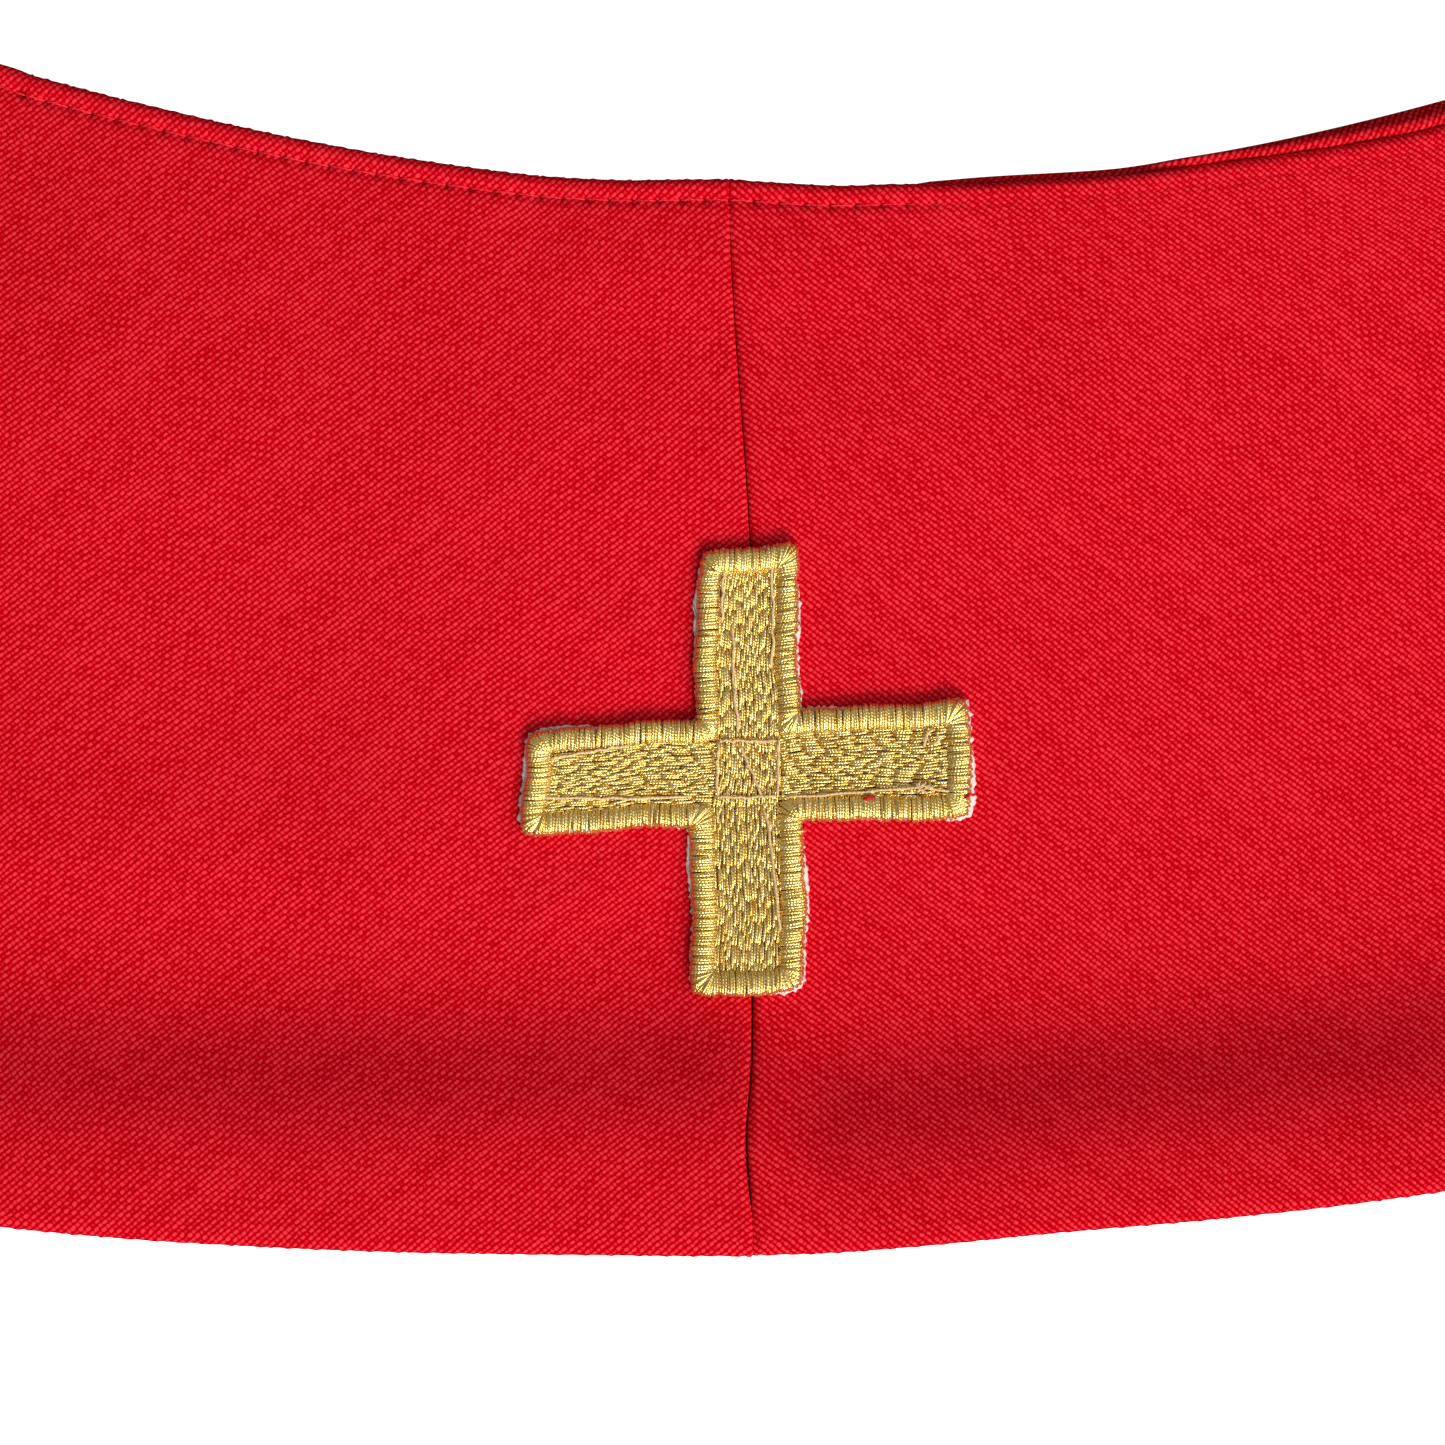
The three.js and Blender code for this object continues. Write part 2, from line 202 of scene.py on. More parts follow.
def lay(along, across, up):
    """Lays a point of a layer: along is negative on the left arm, across positive to the neck."""
    distance, side = np.abs(along), np.sign(along) + (along == 0)
    share = across / NECK_HALF_WIDTH
    # How far the outer and the neck edge wander from the even curve, on each side of the seam.
    outer_left = 2.7 * ease(distance, 10, 90) - 0.3
    outer_right = 1.5 * (1 - ease(distance, 0, 35)) - 1.9
    inner_left = 0.36 * ease(distance, 40, 80) - 0.25 * np.exp(-((distance - 25) / 12) ** 2)
    inner_right = -0.8 * ease(distance, 0, 18) - 1.1 * ease(distance, 30, 56)
    outer = np.where(side < 0, outer_left, outer_right)
    inner = np.where(side < 0, inner_left, inner_right)
    eased = np.where(share > 0, inner * share ** 2, -outer * np.abs(share) ** 1.5)
    x, y = flat_place(along, across + eased * (1 - ease(distance, 110, 230)))
    # The neck edge bulges a little across the nape, most at the seam; the seam itself sways.
    y = y + 0.2 * ease(across, 20, 59) * (1 - ease(distance, 90, 150))
    y = y + 0.3 * np.exp(-((x + 2) / 6) ** 2) * ease(across, 45, 59)
    sway = 0.8 - 2.6 * ease(across, 10, 60) - 0.7 * np.exp(-((across + 47) / 6) ** 2)
    x = x + sway * np.exp(-(distance / 35) ** 2)
    return np.stack([x * MM, y * MM + neck_y, (up + height(along, across)) * MM], -1)


# ---- Lining ------------------------------------------------------------------------------------
# Two panels of red lining cloth, the same length as the face but 2 mm smaller all round, with
# their edges turned in. On the right of the nape the lining's edge has worked out past the face.

LINING_CLOTH = 0.3
LINING_FOLD = 0.27
LINING_MIDDLE = 0.2
LINING_INSET = 2
LINING_TURN_IN = 8
LINING_SEAM_GAP = 0.07
LINING_REACH = NECK_HALF_WIDTH - LINING_INSET
LINING_END = HALF_LENGTH - LINING_INSET
LINING_SEAM = math.pi * LINING_FOLD + LINING_TURN_IN


def fold(reach, distance, radius):
    """A point of the flat cloth at a distance from the middle, folded back at reach."""
    past = distance - (reach - radius)
    turn = np.clip(past / radius, 0, math.pi)
    place = np.where(past > 0, reach - radius + radius * np.sin(turn), distance)
    return place - np.maximum(past - math.pi * radius, 0), radius * (1 - np.cos(turn))


def graded(*stretches):
    """Distances from 0 through stretches of (end, step), each from where the last one ended."""
    marks, start = [0.0], 0.0
    for end, step in stretches:
        count = max(1, round((end - start) / step))
        marks += list(start + (end - start) * np.arange(1, count + 1) / count)
        start = end
    return np.array(marks)


def face_retreat(side, distance):
    """How far the face's fold lies back from the neck edge of the lining on the right."""
    back = 0.85 * ease(distance, 18, 34) + 2.0 * ease(distance, 50, 95)
    return (side > 0) * back * (1 - ease(distance, 150, 230))


def lining_edge(side, distance, across):
    """The lining's edge past the face's fold, and how far it curls up beside it."""
    shown = (side > 0) * LINING_INSET * ease(distance, 14, 26) * (1 - ease(distance, 150, 230))
    across = across + shown * ease(across, 40, LINING_REACH)
    fold_line = NECK_HALF_WIDTH - face_retreat(side, distance)
    curl = 2.1 * ease(distance, 48, 60) * (1 - ease(distance, 120, 200)) * (side > 0)
    past = across - fold_line
    flattened = 1 - 0.9 * ease(past, 0.9, face_retreat(side, distance) + 0.2)
    curl = curl * ease(past, -0.15, 0.45) * flattened
    return across, curl


def lining_place(side):
    def place(s, t):
        from_seam = s - LINING_SEAM
        out, seam_lift = fold(0, -from_seam, LINING_FOLD)
        seam_side = np.where(from_seam < LINING_FOLD, -out, from_seam)
        seam_lift = np.where(from_seam < LINING_FOLD, seam_lift, 0)
        hem_side, hem_lift = fold(LINING_END, from_seam, LINING_FOLD)
        distance = np.maximum(np.where(from_seam > HALF_LENGTH / 2, hem_side, seam_side), 0)
        band, edge_lift = fold(LINING_REACH, np.abs(t), LINING_FOLD)
        across, curl = lining_edge(side, distance, np.sign(t) * band)
        up = LINING_MIDDLE + curl + np.maximum(edge_lift, np.maximum(seam_lift, hem_lift))
        return lay(side * (distance + LINING_SEAM_GAP), across, up)
    return place


def cloth_grid(name, along, across, place, seam_turn=0, cut=None):
    """A sheet laid by place(along, across), with its flat cut kept as the pattern map."""
    bpy.ops.object.select_all(action="DESELECT")
    columns, rows = len(along) - 1, len(across) - 1
    bpy.ops.mesh.primitive_grid_add(x_subdivisions=columns, y_subdivisions=rows, size=2)
    sheet = bpy.context.object
    sheet.name = name
    mesh = sheet.data
    flat = np.empty(len(mesh.vertices) * 3)
    mesh.vertices.foreach_get("co", flat)
    flat = flat.reshape(-1, 3)
    s = along[np.rint((flat[:, 0] + 1) / 2 * columns).astype(int)]
    t = across[np.rint((flat[:, 1] + 1) / 2 * rows).astype(int)]
    mesh.vertices.foreach_set("co", place(s, t).ravel())
    corner = np.empty(len(mesh.loops), int)
    mesh.loops.foreach_get("vertex_index", corner)
    x, y = flat_place(s - seam_turn, t)
    pattern = np.stack([np.where(s < seam_turn, -1, 1) * np.abs(x), y], -1)
    mesh.uv_layers[0].name = "pattern"
    mesh.uv_layers[0].uv.foreach_set("vector", pattern[corner].ravel())
    mesh.update()
    bpy.ops.object.shade_smooth()
    bpy.ops.object.mode_set(mode="EDIT")
    bpy.ops.mesh.select_mode(type="FACE")
    bpy.ops.mesh.select_all(action="SELECT")
    bpy.ops.mesh.normals_make_consistent(inside=False)
    if cut is not None:
        bpy.ops.mesh.select_all(action="DESELECT")
        bpy.ops.object.mode_set(mode="OBJECT")
        around = np.empty(len(mesh.loops), int)
        mesh.loops.foreach_get("vertex_index", around)
        around = around.reshape(-1, 4)
        mesh.polygons.foreach_set("select", cut(s[around].mean(1), t[around].mean(1)))
        bpy.ops.object.mode_set(mode="EDIT")
        bpy.ops.mesh.delete(type="FACE")
    bpy.ops.object.mode_set(mode="OBJECT")
    return sheet


def thicken(sheet, thickness):
    solid = sheet.modifiers.new("thickness", "SOLIDIFY")
    solid.thickness = thickness * MM
    solid.offset = 0
    bpy.context.view_layer.objects.active = sheet
    bpy.ops.object.modifier_apply(modifier=solid.name)


def corner_cut(length, reach, seam_turn):
    """Cuts the turned-in cloth away on the slant where two turned-in edges meet."""
    def cut(s, t):
        from_seam, past_edge = s - seam_turn, np.abs(t) - reach
        past_end = from_seam - length
        spare = (past_end > 0) & (np.abs(t) > reach - past_end - 1)
        spare = spare | ((past_edge > 0) & (past_end > -past_edge - 1))
        return spare | ((past_edge > 0) & (from_seam < 1 + past_edge))
    return cut


def weave(name, painted_gap_shade, body, lit, depth, specular):
    """Plain weave in slanting rows of short floats, each a little its own in height and colour."""
    material = bpy.data.materials.new(name)
    material.use_nodes = True
    nodes, links = material.node_tree.nodes, material.node_tree.links
    shader = nodes["Principled BSDF"]

    def node(kind, *inputs, output=0, **settings):
        made = nodes.new("ShaderNode" + kind)
        for key, value in settings.items():
            setattr(made, key, value)
        for number, value in enumerate(inputs):
            if isinstance(value, bpy.types.NodeSocket):
                links.new(value, made.inputs[number])
            elif value is not None:
                made.inputs[number].default_value = value
        return made.outputs[output]

    def sums(operation, a, b=None):
        return node("Math", a, b, operation=operation)

    def waver(scale, amount):
        noise = node("TexNoise", cut, None, scale, 1, output="Color")
        centred = node("VectorMath", noise, (0.5, 0.5, 0.5), operation="SUBTRACT")
        return node("VectorMath", centred, (amount, amount, 0), operation="MULTIPLY")

    # The threads wander a little from the even grid of the flat cut.
    cut = node("UVMap", uv_map="pattern")
    flat = node("VectorMath", cut, waver(0.06, 1.1), operation="ADD")
    flat = node("VectorMath", flat, waver(0.8, 0.28), operation="ADD")

    def count(angle, pitch):
        across = (-math.sin(math.radians(angle)) / pitch, math.cos(math.radians(angle)) / pitch, 0)
        return node("VectorMath", flat, across, operation="DOT_PRODUCT", output="Value")

    # The rows slant both ways: degrees off the long edge, then millimetres from float to float.
    along_row, row = count(50, 0.553), count(-37, 0.578)
    float_number, row_number = sums("FLOOR", along_row), sums("FLOOR", row)
    each = node("TexWhiteNoise", node("CombineXYZ", float_number, row_number), noise_dimensions="2D")
    stretch_of_row = sums("FLOOR", sums("MULTIPLY", along_row, 0.05))
    by_row = node("TexWhiteNoise", node("CombineXYZ", row_number, stretch_of_row), noise_dimensions="2D")
    under = sums("FRACT", sums("MULTIPLY", sums("ADD", float_number, row_number), 0.5))

    def hump(value, power):
        return sums("POWER", sums("ABSOLUTE", sums("SINE", sums("MULTIPLY", value, math.pi))), power)

    def float_of(across_it, along_it):
        end_dip = sums("ADD", 0.5, sums("MULTIPLY", hump(along_it, 0.35), 0.5))
        return sums("MULTIPLY", hump(across_it, 0.55), end_dip)

    # Weft and warp come to the top by turns, the warp a little lower.
    weft, warp = float_of(row, along_row), float_of(along_row, row)
    change = sums("MULTIPLY", sums("SUBTRACT", warp, weft), under)
    warp_sunk = sums("SUBTRACT", 1.04, sums("MULTIPLY", under, 0.40))
    pebble = sums("MULTIPLY", sums("ADD", weft, change), warp_sunk)
    pebble = sums("MULTIPLY", pebble, sums("ADD", 0.80, sums("MULTIPLY", each, 0.36)))
    fibres = node("TexNoise", cut, None, 3.6, 2.0)
    pebble = sums("ADD", pebble, sums("MULTIPLY", sums("SUBTRACT", fibres, 0.5), 0.75))
    cloudy = node("TexNoise", cut, None, 0.07, 2.0)
    # A thin painted highlight runs along the middle of each float, in its colour.
    painted_gleam = sums("MULTIPLY", hump(row, 5.0), sums("ADD", 0.3, sums("MULTIPLY", hump(along_row, 0.6), 0.7)))
    painted_gleam_share = sums("SUBTRACT", 0.42, sums("MULTIPLY", under, 0.5))
    painted_gleam = sums("MULTIPLY", sums("SUBTRACT", painted_gleam, 0.24), painted_gleam_share)
    # The tone follows the height, as painted shade in the hollows and painted highlight on the floats, and
    # differs a little from row to row and over the whole cloth.
    tone = sums("ADD", sums("MULTIPLY", pebble, 0.9), sums("ADD", painted_gleam, 0.04))
    tone = sums("ADD", tone, sums("MULTIPLY", sums("SUBTRACT", by_row, 0.5), 0.10))
    tone = sums("ADD", tone, sums("MULTIPLY", sums("SUBTRACT", cloudy, 0.5), 0.12))
    # The darkest stop is the painted shade between the floats; the lightest is the painted highlight on
    # them.
    shade = nodes.new("ShaderNodeValToRGB")
    shade.color_ramp.elements[0].position = 0.15
    shade.color_ramp.elements[0].color = (*painted_gap_shade, 1)
    shade.color_ramp.elements[1].position = 1.0
    shade.color_ramp.elements[1].color = (*lit, 1)
    shade.color_ramp.elements.new(0.58).color = (*body, 1)
    links.new(tone, shade.inputs[0])
    links.new(shade.outputs[0], shader.inputs["Base Color"])
    bump = node("Bump")
    bump.node.inputs["Distance"].default_value = depth * MM
    links.new(pebble, bump.node.inputs["Height"])
    links.new(bump, shader.inputs["Normal"])
    shader.inputs["Roughness"].default_value = 0.75
    shader.inputs["Specular IOR Level"].default_value = specular
    return material


red_lining = weave("red lining", (0.27, 0.0, 0.001), (0.51, 0.001, 0.007), (0.70, 0.032, 0.045), 0.04, 0.0)

lining_length = LINING_END - LINING_FOLD + math.pi * LINING_FOLD + LINING_TURN_IN
lining_along = np.concatenate([
    [0, LINING_TURN_IN], LINING_TURN_IN + graded((math.pi * LINING_FOLD, 0.22))[1:-1],
    LINING_SEAM + graded((96, 1.6), (250, 3), (LINING_END - 2, 7), (lining_length, 0.7))])
lining_bend = LINING_REACH - LINING_FOLD + graded((math.pi * LINING_FOLD, 0.17))
outer_side = np.concatenate([np.arange(1.1, 56.9, 2.2), lining_bend, [lining_bend[-1] + LINING_TURN_IN]])
neck_side = np.concatenate([np.arange(1.1, 50, 2.2), np.arange(50.5, 57.1, 0.3), lining_bend,
                            lining_bend[-1] + np.array([0.5, 1, 1.5, 2, 2.6, 3.4, LINING_TURN_IN])])
lining_across = np.concatenate([-outer_side[::-1], neck_side])

for word, side in (("left", -1), ("right", 1)):
    panel = cloth_grid(f"lining_cloth_{word}", lining_along, lining_across, lining_place(side),
                       LINING_SEAM, corner_cut(LINING_END, LINING_REACH, LINING_SEAM))
    thicken(panel, LINING_CLOTH)
    panel.data.materials.append(red_lining)
    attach(panel, "root")
    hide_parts(f"lining_{word}")


# ---- Interlining -------------------------------------------------------------------------------
# A white sew-in canvas between face and lining, cut to the finished shape without turnings. It
# gives way under the topstitching and under the allowance of the centre seam.

TOPSTITCH_INSET = 2.4
STITCH_LENGTH = 3.2
TOPSTITCH_ROW = NECK_HALF_WIDTH - TOPSTITCH_INSET
GROOVE_DEPTH = 0.24
GROOVE_WIDTH = 0.7
HOLE_DEPTH = 0.9
HOLE_WIDTH = 0.42
CANVAS_THICKNESS = 0.36
CANVAS_MIDDLE = 2.0


def neck_edge(side, distance, across):
    """The face's neck edge: how far it rolls back, and how the topstitching draws it down."""
    fading = 1 - 0.85 * (side > 0) * ease(distance, 16, 34)
    stitched = fading * (1 - ease(distance, ARM_START - 4, ARM_START))
    from_row = across - TOPSTITCH_ROW
    groove = stitched * GROOVE_DEPTH * np.exp(-(from_row / GROOVE_WIDTH) ** 2)
    from_hole = np.abs((distance + STITCH_LENGTH / 2) % STITCH_LENGTH - STITCH_LENGTH / 2)
    hole = stitched * HOLE_DEPTH * np.exp(-(np.hypot(from_row * 1.1, from_hole) / HOLE_WIDTH) ** 2)
    rolled = face_retreat(side, distance) * ease(across, 40, NECK_HALF_WIDTH)
    return across - rolled, groove, hole


def interlining_place(side):
    def place(s, t):
        across, groove, _ = neck_edge(side, s, t)
        give = 0.35 * (1 - ease(s, 11, 16)) + 0.4 * np.exp(-((t - TOPSTITCH_ROW) / 1.5) ** 2)
        return lay(side * s, across, CANVAS_MIDDLE - give)
    return place


canvas = weave("interlining canvas", (0.5, 0.48, 0.44), (0.8, 0.78, 0.72), (0.9, 0.88, 0.82), 0.08, 0.3)
canvas_along = graded((0.8, 0.8), (250, 3), (HALF_LENGTH - 2, 8))[1:]
canvas_across = np.concatenate([np.linspace(-57.4, 50, 50), np.arange(51, 57.5, 0.8)])
for word, side in (("left", -1), ("right", 1)):
    panel = cloth_grid(f"canvas_{word}", canvas_along, canvas_across, interlining_place(side))
    thicken(panel, CANVAS_THICKNESS)
    panel.data.materials.append(canvas)
    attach(panel, "root")
    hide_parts(f"interlining_{word}")


# ---- Face --------------------------------------------------------------------------------------
# Two panels of red polyester in a plain weave, mirrored at the centre back. The long edges, the
# seam edge and the hem are turned in over the interlining; the corners are cut away on the slant.

FACE_CLOTH = 0.5
FACE_FOLD = 0.85
FACE_MIDDLE = 2.85
TURN_IN = 11
SEAM_FOLD = 0.3
SEAM_GAP = 0.305
FACE_SEAM = math.pi * SEAM_FOLD + TURN_IN
FACE_REACH = NECK_HALF_WIDTH - FACE_CLOTH / 2
FACE_BEND = FACE_REACH - FACE_FOLD + math.pi * FACE_FOLD
FACE_LENGTH = HALF_LENGTH - FACE_FOLD + math.pi * FACE_FOLD + TURN_IN


def face_place(side):
    def place(s, t):
        from_seam = s - FACE_SEAM
        out, seam_drop = fold(0, -from_seam, SEAM_FOLD)
        seam_side = np.where(from_seam < SEAM_FOLD, -out, from_seam)
        seam_drop = np.where(from_seam < SEAM_FOLD, seam_drop, 0)
        hem_side, hem_drop = fold(HALF_LENGTH, from_seam, FACE_FOLD)
        distance = np.maximum(np.where(from_seam > HALF_LENGTH / 2, hem_side, seam_side), 0)
        band, edge_drop = fold(FACE_REACH, np.abs(t), FACE_FOLD)
        bend = np.clip(edge_drop / FACE_FOLD, 0, 1)
        grain = 0.06 * np.sin(distance * 2 * math.pi / 0.86)
        grain = grain + 0.05 * np.sin(distance * 2 * math.pi / 1.31 + 1)
        across, groove, hole = neck_edge(side, distance, np.sign(t) * (band + bend * grain))
        on_top = edge_drop + seam_drop + hem_drop < FACE_FOLD
        groove = np.where(on_top, groove + hole, 0)
        # At the seam the left panel stands a little proud and the right one dips to meet it.
        seam_step = np.where(side < 0, 0.10 * np.exp(-distance / 1.2), -0.28 * np.exp(-distance / 0.8))
        seam_step = seam_step * (1 - ease(across, 51.5, 54.5))
        up = FACE_MIDDLE + seam_step - np.maximum(edge_drop, np.maximum(seam_drop, hem_drop)) - groove
        # The seam opens a little towards the outer edge, and is pressed shut at both ends.
        gap = SEAM_GAP + 0.01 * ease(-across, 0, 20) - 0.18 * ease(np.abs(across), 52, 56)
        return lay(side * (distance + gap), across, up)
    return place


red_cloth = weave("red cloth", (0.34, 0.0, 0.002), (0.615, 0.0006, 0.009), (0.83, 0.038, 0.055), 0.050, 0.0)
# The mesh is finest at the needle holes.
from_hole = np.array([0, 0.36, 0.95, 1.6, 2.25, 2.84])
near_holes = np.concatenate([
    hole + from_hole for hole in np.arange(STITCH_LENGTH, BACK_LENGTH, STITCH_LENGTH)])
face_along = np.concatenate([
    [0, TURN_IN / 2, TURN_IN], TURN_IN + graded((math.pi * SEAM_FOLD, 0.2))[1:-1],
    FACE_SEAM + graded((1.2, 0.3), (3.0, 0.6))[:-1], FACE_SEAM + near_holes,
    FACE_SEAM + 96 + graded((154, 2.4), (HALF_LENGTH - 100, 6.0), (FACE_LENGTH - 96, 1.5))])
face_bend = FACE_REACH - FACE_FOLD + graded((math.pi * FACE_FOLD, 0.3))
neck_side = np.concatenate([
    np.arange(0.9, 52, 1.8), np.arange(52.4, 55.2, 0.8), np.arange(55.6, face_bend[0] - 0.1, 0.3),
    face_bend, [FACE_BEND + TURN_IN]])
face_bend = FACE_REACH - FACE_FOLD + graded((math.pi * FACE_FOLD, 0.36))
outer_side = np.concatenate([np.arange(0.9, face_bend[0] - 0.5, 1.8), face_bend, [FACE_BEND + TURN_IN]])
face_across = np.concatenate([-outer_side[::-1], neck_side])

for word, side in (("left", -1), ("right", 1)):
    panel = cloth_grid(f"face_{word}", face_along, face_across, face_place(side),
                       FACE_SEAM, corner_cut(HALF_LENGTH + 1.8, FACE_BEND, FACE_SEAM))
    thicken(panel, FACE_CLOTH)
    panel.data.materials.append(red_cloth)
    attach(panel, "root")
    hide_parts(f"face_panel_{word}")


# ---- Sewing threads ----------------------------------------------------------------------------
# Red polyester thread: the topstitching along the neck edge, the hidden machine stitches of the
# two centre seams, and the slip stitches that hold the lining to the turned-in edges.

TOPSTITCH_RADIUS = 0.13
SEAM_THREAD_RADIUS = 0.12
FINE_THREAD_RADIUS = 0.1
SEAM_STITCH = 2.5
SLIP_STITCH = 5.0
rng = np.random.default_rng(7)


def tubes(name, paths, radius, sides=6):
    """Threads along paths of the same number of points; each gets a tone of its own, 0 to 1."""
    paths = np.asarray(paths)
    count, rings = paths.shape[:2]
    tangent = np.gradient(paths, axis=1)
    tangent /= np.linalg.norm(tangent, axis=2, keepdims=True)
    chord = paths[:, -1] - paths[:, 0]
    aside = np.stack([-chord[:, 1], chord[:, 0], 0 * chord[:, 0]], -1)
    aside /= np.linalg.norm(aside, axis=1, keepdims=True)
    aside = np.repeat(aside[:, None], rings, 1)
    upward = np.cross(tangent, aside)
    # A ring of points round each point of each path.
    turn = np.arange(sides) * 2 * math.pi / sides
    size = np.broadcast_to(np.asarray(radius) * MM, (count, rings))[:, :, None, None]
    ring = (np.cos(turn)[:, None] * aside[:, :, None] + np.sin(turn)[:, None] * upward[:, :, None]) * size
    points = (paths[:, :, None] + ring).reshape(-1, 3)
    start = np.arange(count)[:, None, None] * rings * sides
    level = np.arange(rings - 1)[None, :, None] * sides
    corner = np.arange(sides)[None, None, :]
    after = (corner + 1) % sides
    quads = np.stack([start + level + corner, start + level + after,
                      start + level + sides + after, start + level + sides + corner], -1).reshape(-1, 4)
    # A closed end at the first and the last ring.
    first = start[:, 0] + np.arange(sides)[::-1]
    last = start[:, 0] + (rings - 1) * sides + np.arange(sides)
    mesh = bpy.data.meshes.new(name)
    mesh.from_pydata(points, [], quads.tolist() + first.tolist() + last.tolist())
    # The thread's own map: millimetres along it, then turns round it.
    length = np.cumsum(np.linalg.norm(np.diff(paths, axis=1, prepend=paths[:, :1]), axis=2), axis=1) / MM
    u = np.stack([length[:, :-1], length[:, :-1], length[:, 1:], length[:, 1:]], -1)
    u = np.repeat(u[:, :, None], sides, 2)
    v = np.broadcast_to(np.stack([corner, corner + 1, corner + 1, corner], -1) / sides, u.shape)
    unrolled = np.stack([u + 40 * rng.random((count, 1, 1, 1)), v], -1).reshape(-1, 2)
    unrolled = np.concatenate([unrolled, np.zeros((2 * count * sides, 2))])
    mesh.uv_layers.new(name="thread")
    mesh.uv_layers["thread"].uv.foreach_set("vector", unrolled.ravel())
    tone = mesh.attributes.new("tone", "FLOAT", "POINT")
    tone.data.foreach_set("value", np.repeat(rng.random(count), rings * sides))
    mesh.update()
    thread = bpy.data.objects.new(name, mesh)
    bpy.context.scene.collection.objects.link(thread)
    mesh.shade_smooth()
    return thread


def stitches(start, end, shares, heights):
    """Stitch paths between two rows of (along, across) points on the laid cloth."""
    start, end = np.asarray(start, float)[:, None], np.asarray(end, float)[:, None]
    spot = start + (end - start) * np.asarray(shares)[None, :, None]
    return lay(spot[..., 0], spot[..., 1], np.broadcast_to(heights, spot.shape[:2]))


def spun(name, dark, light, twist, ridge_depth, rough, metal=0.0):
    """Spun thread: the plies show as slanting ridges, each stitch has its own tone, and noise along it
    paints glints into the colour.
    """
    material = bpy.data.materials.new(name)
    material.use_nodes = True
    nodes, links = material.node_tree.nodes, material.node_tree.links
    shader = nodes["Principled BSDF"]
    unrolled = nodes.new("ShaderNodeUVMap")
    unrolled.uv_map = "thread"
    turned = nodes.new("ShaderNodeVectorMath")
    turned.operation = "DOT_PRODUCT"
    turned.inputs[1].default_value = (2 * math.pi / twist, 2 * math.pi, 0)
    links.new(unrolled.outputs[0], turned.inputs[0])
    ridge = nodes.new("ShaderNodeMath")
    ridge.operation = "SINE"
    links.new(turned.outputs["Value"], ridge.inputs[0])
    noise = nodes.new("ShaderNodeTexNoise")
    noise.inputs["Scale"].default_value = 2.2
    noise.inputs["Detail"].default_value = 3
    links.new(unrolled.outputs[0], noise.inputs["Vector"])
    own = nodes.new("ShaderNodeAttribute")
    own.attribute_name = "tone"
    # Painted glints: noise along the thread lightens and darkens short stretches of its colour.
    painted_glints = nodes.new("ShaderNodeMath")
    painted_glints.operation = "MULTIPLY_ADD"
    painted_glints.inputs[1].default_value = 1.5
    painted_glints.inputs[2].default_value = -0.42
    links.new(noise.outputs[0], painted_glints.inputs[0])
    amount = nodes.new("ShaderNodeMath")
    amount.operation = "MULTIPLY_ADD"
    amount.inputs[1].default_value = 0.35
    links.new(own.outputs["Fac"], amount.inputs[0])
    links.new(painted_glints.outputs[0], amount.inputs[2])
    mix = nodes.new("ShaderNodeValToRGB")
    mix.color_ramp.elements[0].color = (*dark, 1)
    mix.color_ramp.elements[1].color = (*light, 1)
    links.new(amount.outputs[0], mix.inputs[0])
    links.new(mix.outputs[0], shader.inputs["Base Color"])
    bump = nodes.new("ShaderNodeBump")
    bump.inputs["Distance"].default_value = ridge_depth * MM
    links.new(ridge.outputs[0], bump.inputs["Height"])
    links.new(bump.outputs[0], shader.inputs["Normal"])
    shader.inputs["Roughness"].default_value = rough
    shader.inputs["Metallic"].default_value = metal
    shader.inputs["Specular IOR Level"].default_value = 0.5 if metal else 0.1
    return material


red_spun = spun("red thread", (0.60, 0.003, 0.012), (0.92, 0.045, 0.065), 0.55, 0.02, 0.85)
holes = np.arange(STITCH_LENGTH, ARM_START - STITCH_LENGTH, STITCH_LENGTH)
# Each stitch runs from hole to hole and dives into the cloth at both of them.
shares = np.array([0.03, 0.09, 0.2, 0.5, 0.8, 0.91, 0.97])
dip = np.array([0.8, 0.26, 0.02, 0.0, 0.02, 0.26, 0.8])
on_top, underneath = [], []
for start in np.concatenate([-holes[::-1] - STITCH_LENGTH, [-STITCH_LENGTH, 0], holes]):
    side = 1 if start >= 0 else -1
    spot = start + STITCH_LENGTH * shares
    across, groove, _ = neck_edge(side, np.abs(spot), np.full(len(spot), TOPSTITCH_ROW))
    sunk = 0.09 + 0.10 * ease(np.abs(spot), 18, 34) * (side > 0)
    on_top.append(lay(spot, across, FACE_MIDDLE + FACE_CLOTH / 2 - groove - dip - sunk))
    underneath.append(lay(spot, across, dip * 0.6 + 0.03))
topstitching = tubes("neck_topstitching", on_top + underneath, TOPSTITCH_RADIUS)

bar_shares = [0, 0.3, 0.5, 0.7, 1]
rows = np.arange(-56, 56.5, SEAM_STITCH)
bars = stitches([(-1.0, t) for t in rows], [(1.0, t) for t in rows],
                bar_shares, [1.8, 1.9, 1.95, 1.9, 1.8])
seam_stitches = tubes("centre_seam_stitches", bars, SEAM_THREAD_RADIUS, 5)
rows = np.arange(-54, 55, SEAM_STITCH)
bars = stitches([(-0.8, t) for t in rows], [(0.8, t) for t in rows],
                bar_shares, [0.55, 0.42, 0.38, 0.42, 0.55])
lining_stitches = tubes("lining_seam_stitches", bars, FINE_THREAD_RADIUS, 5)

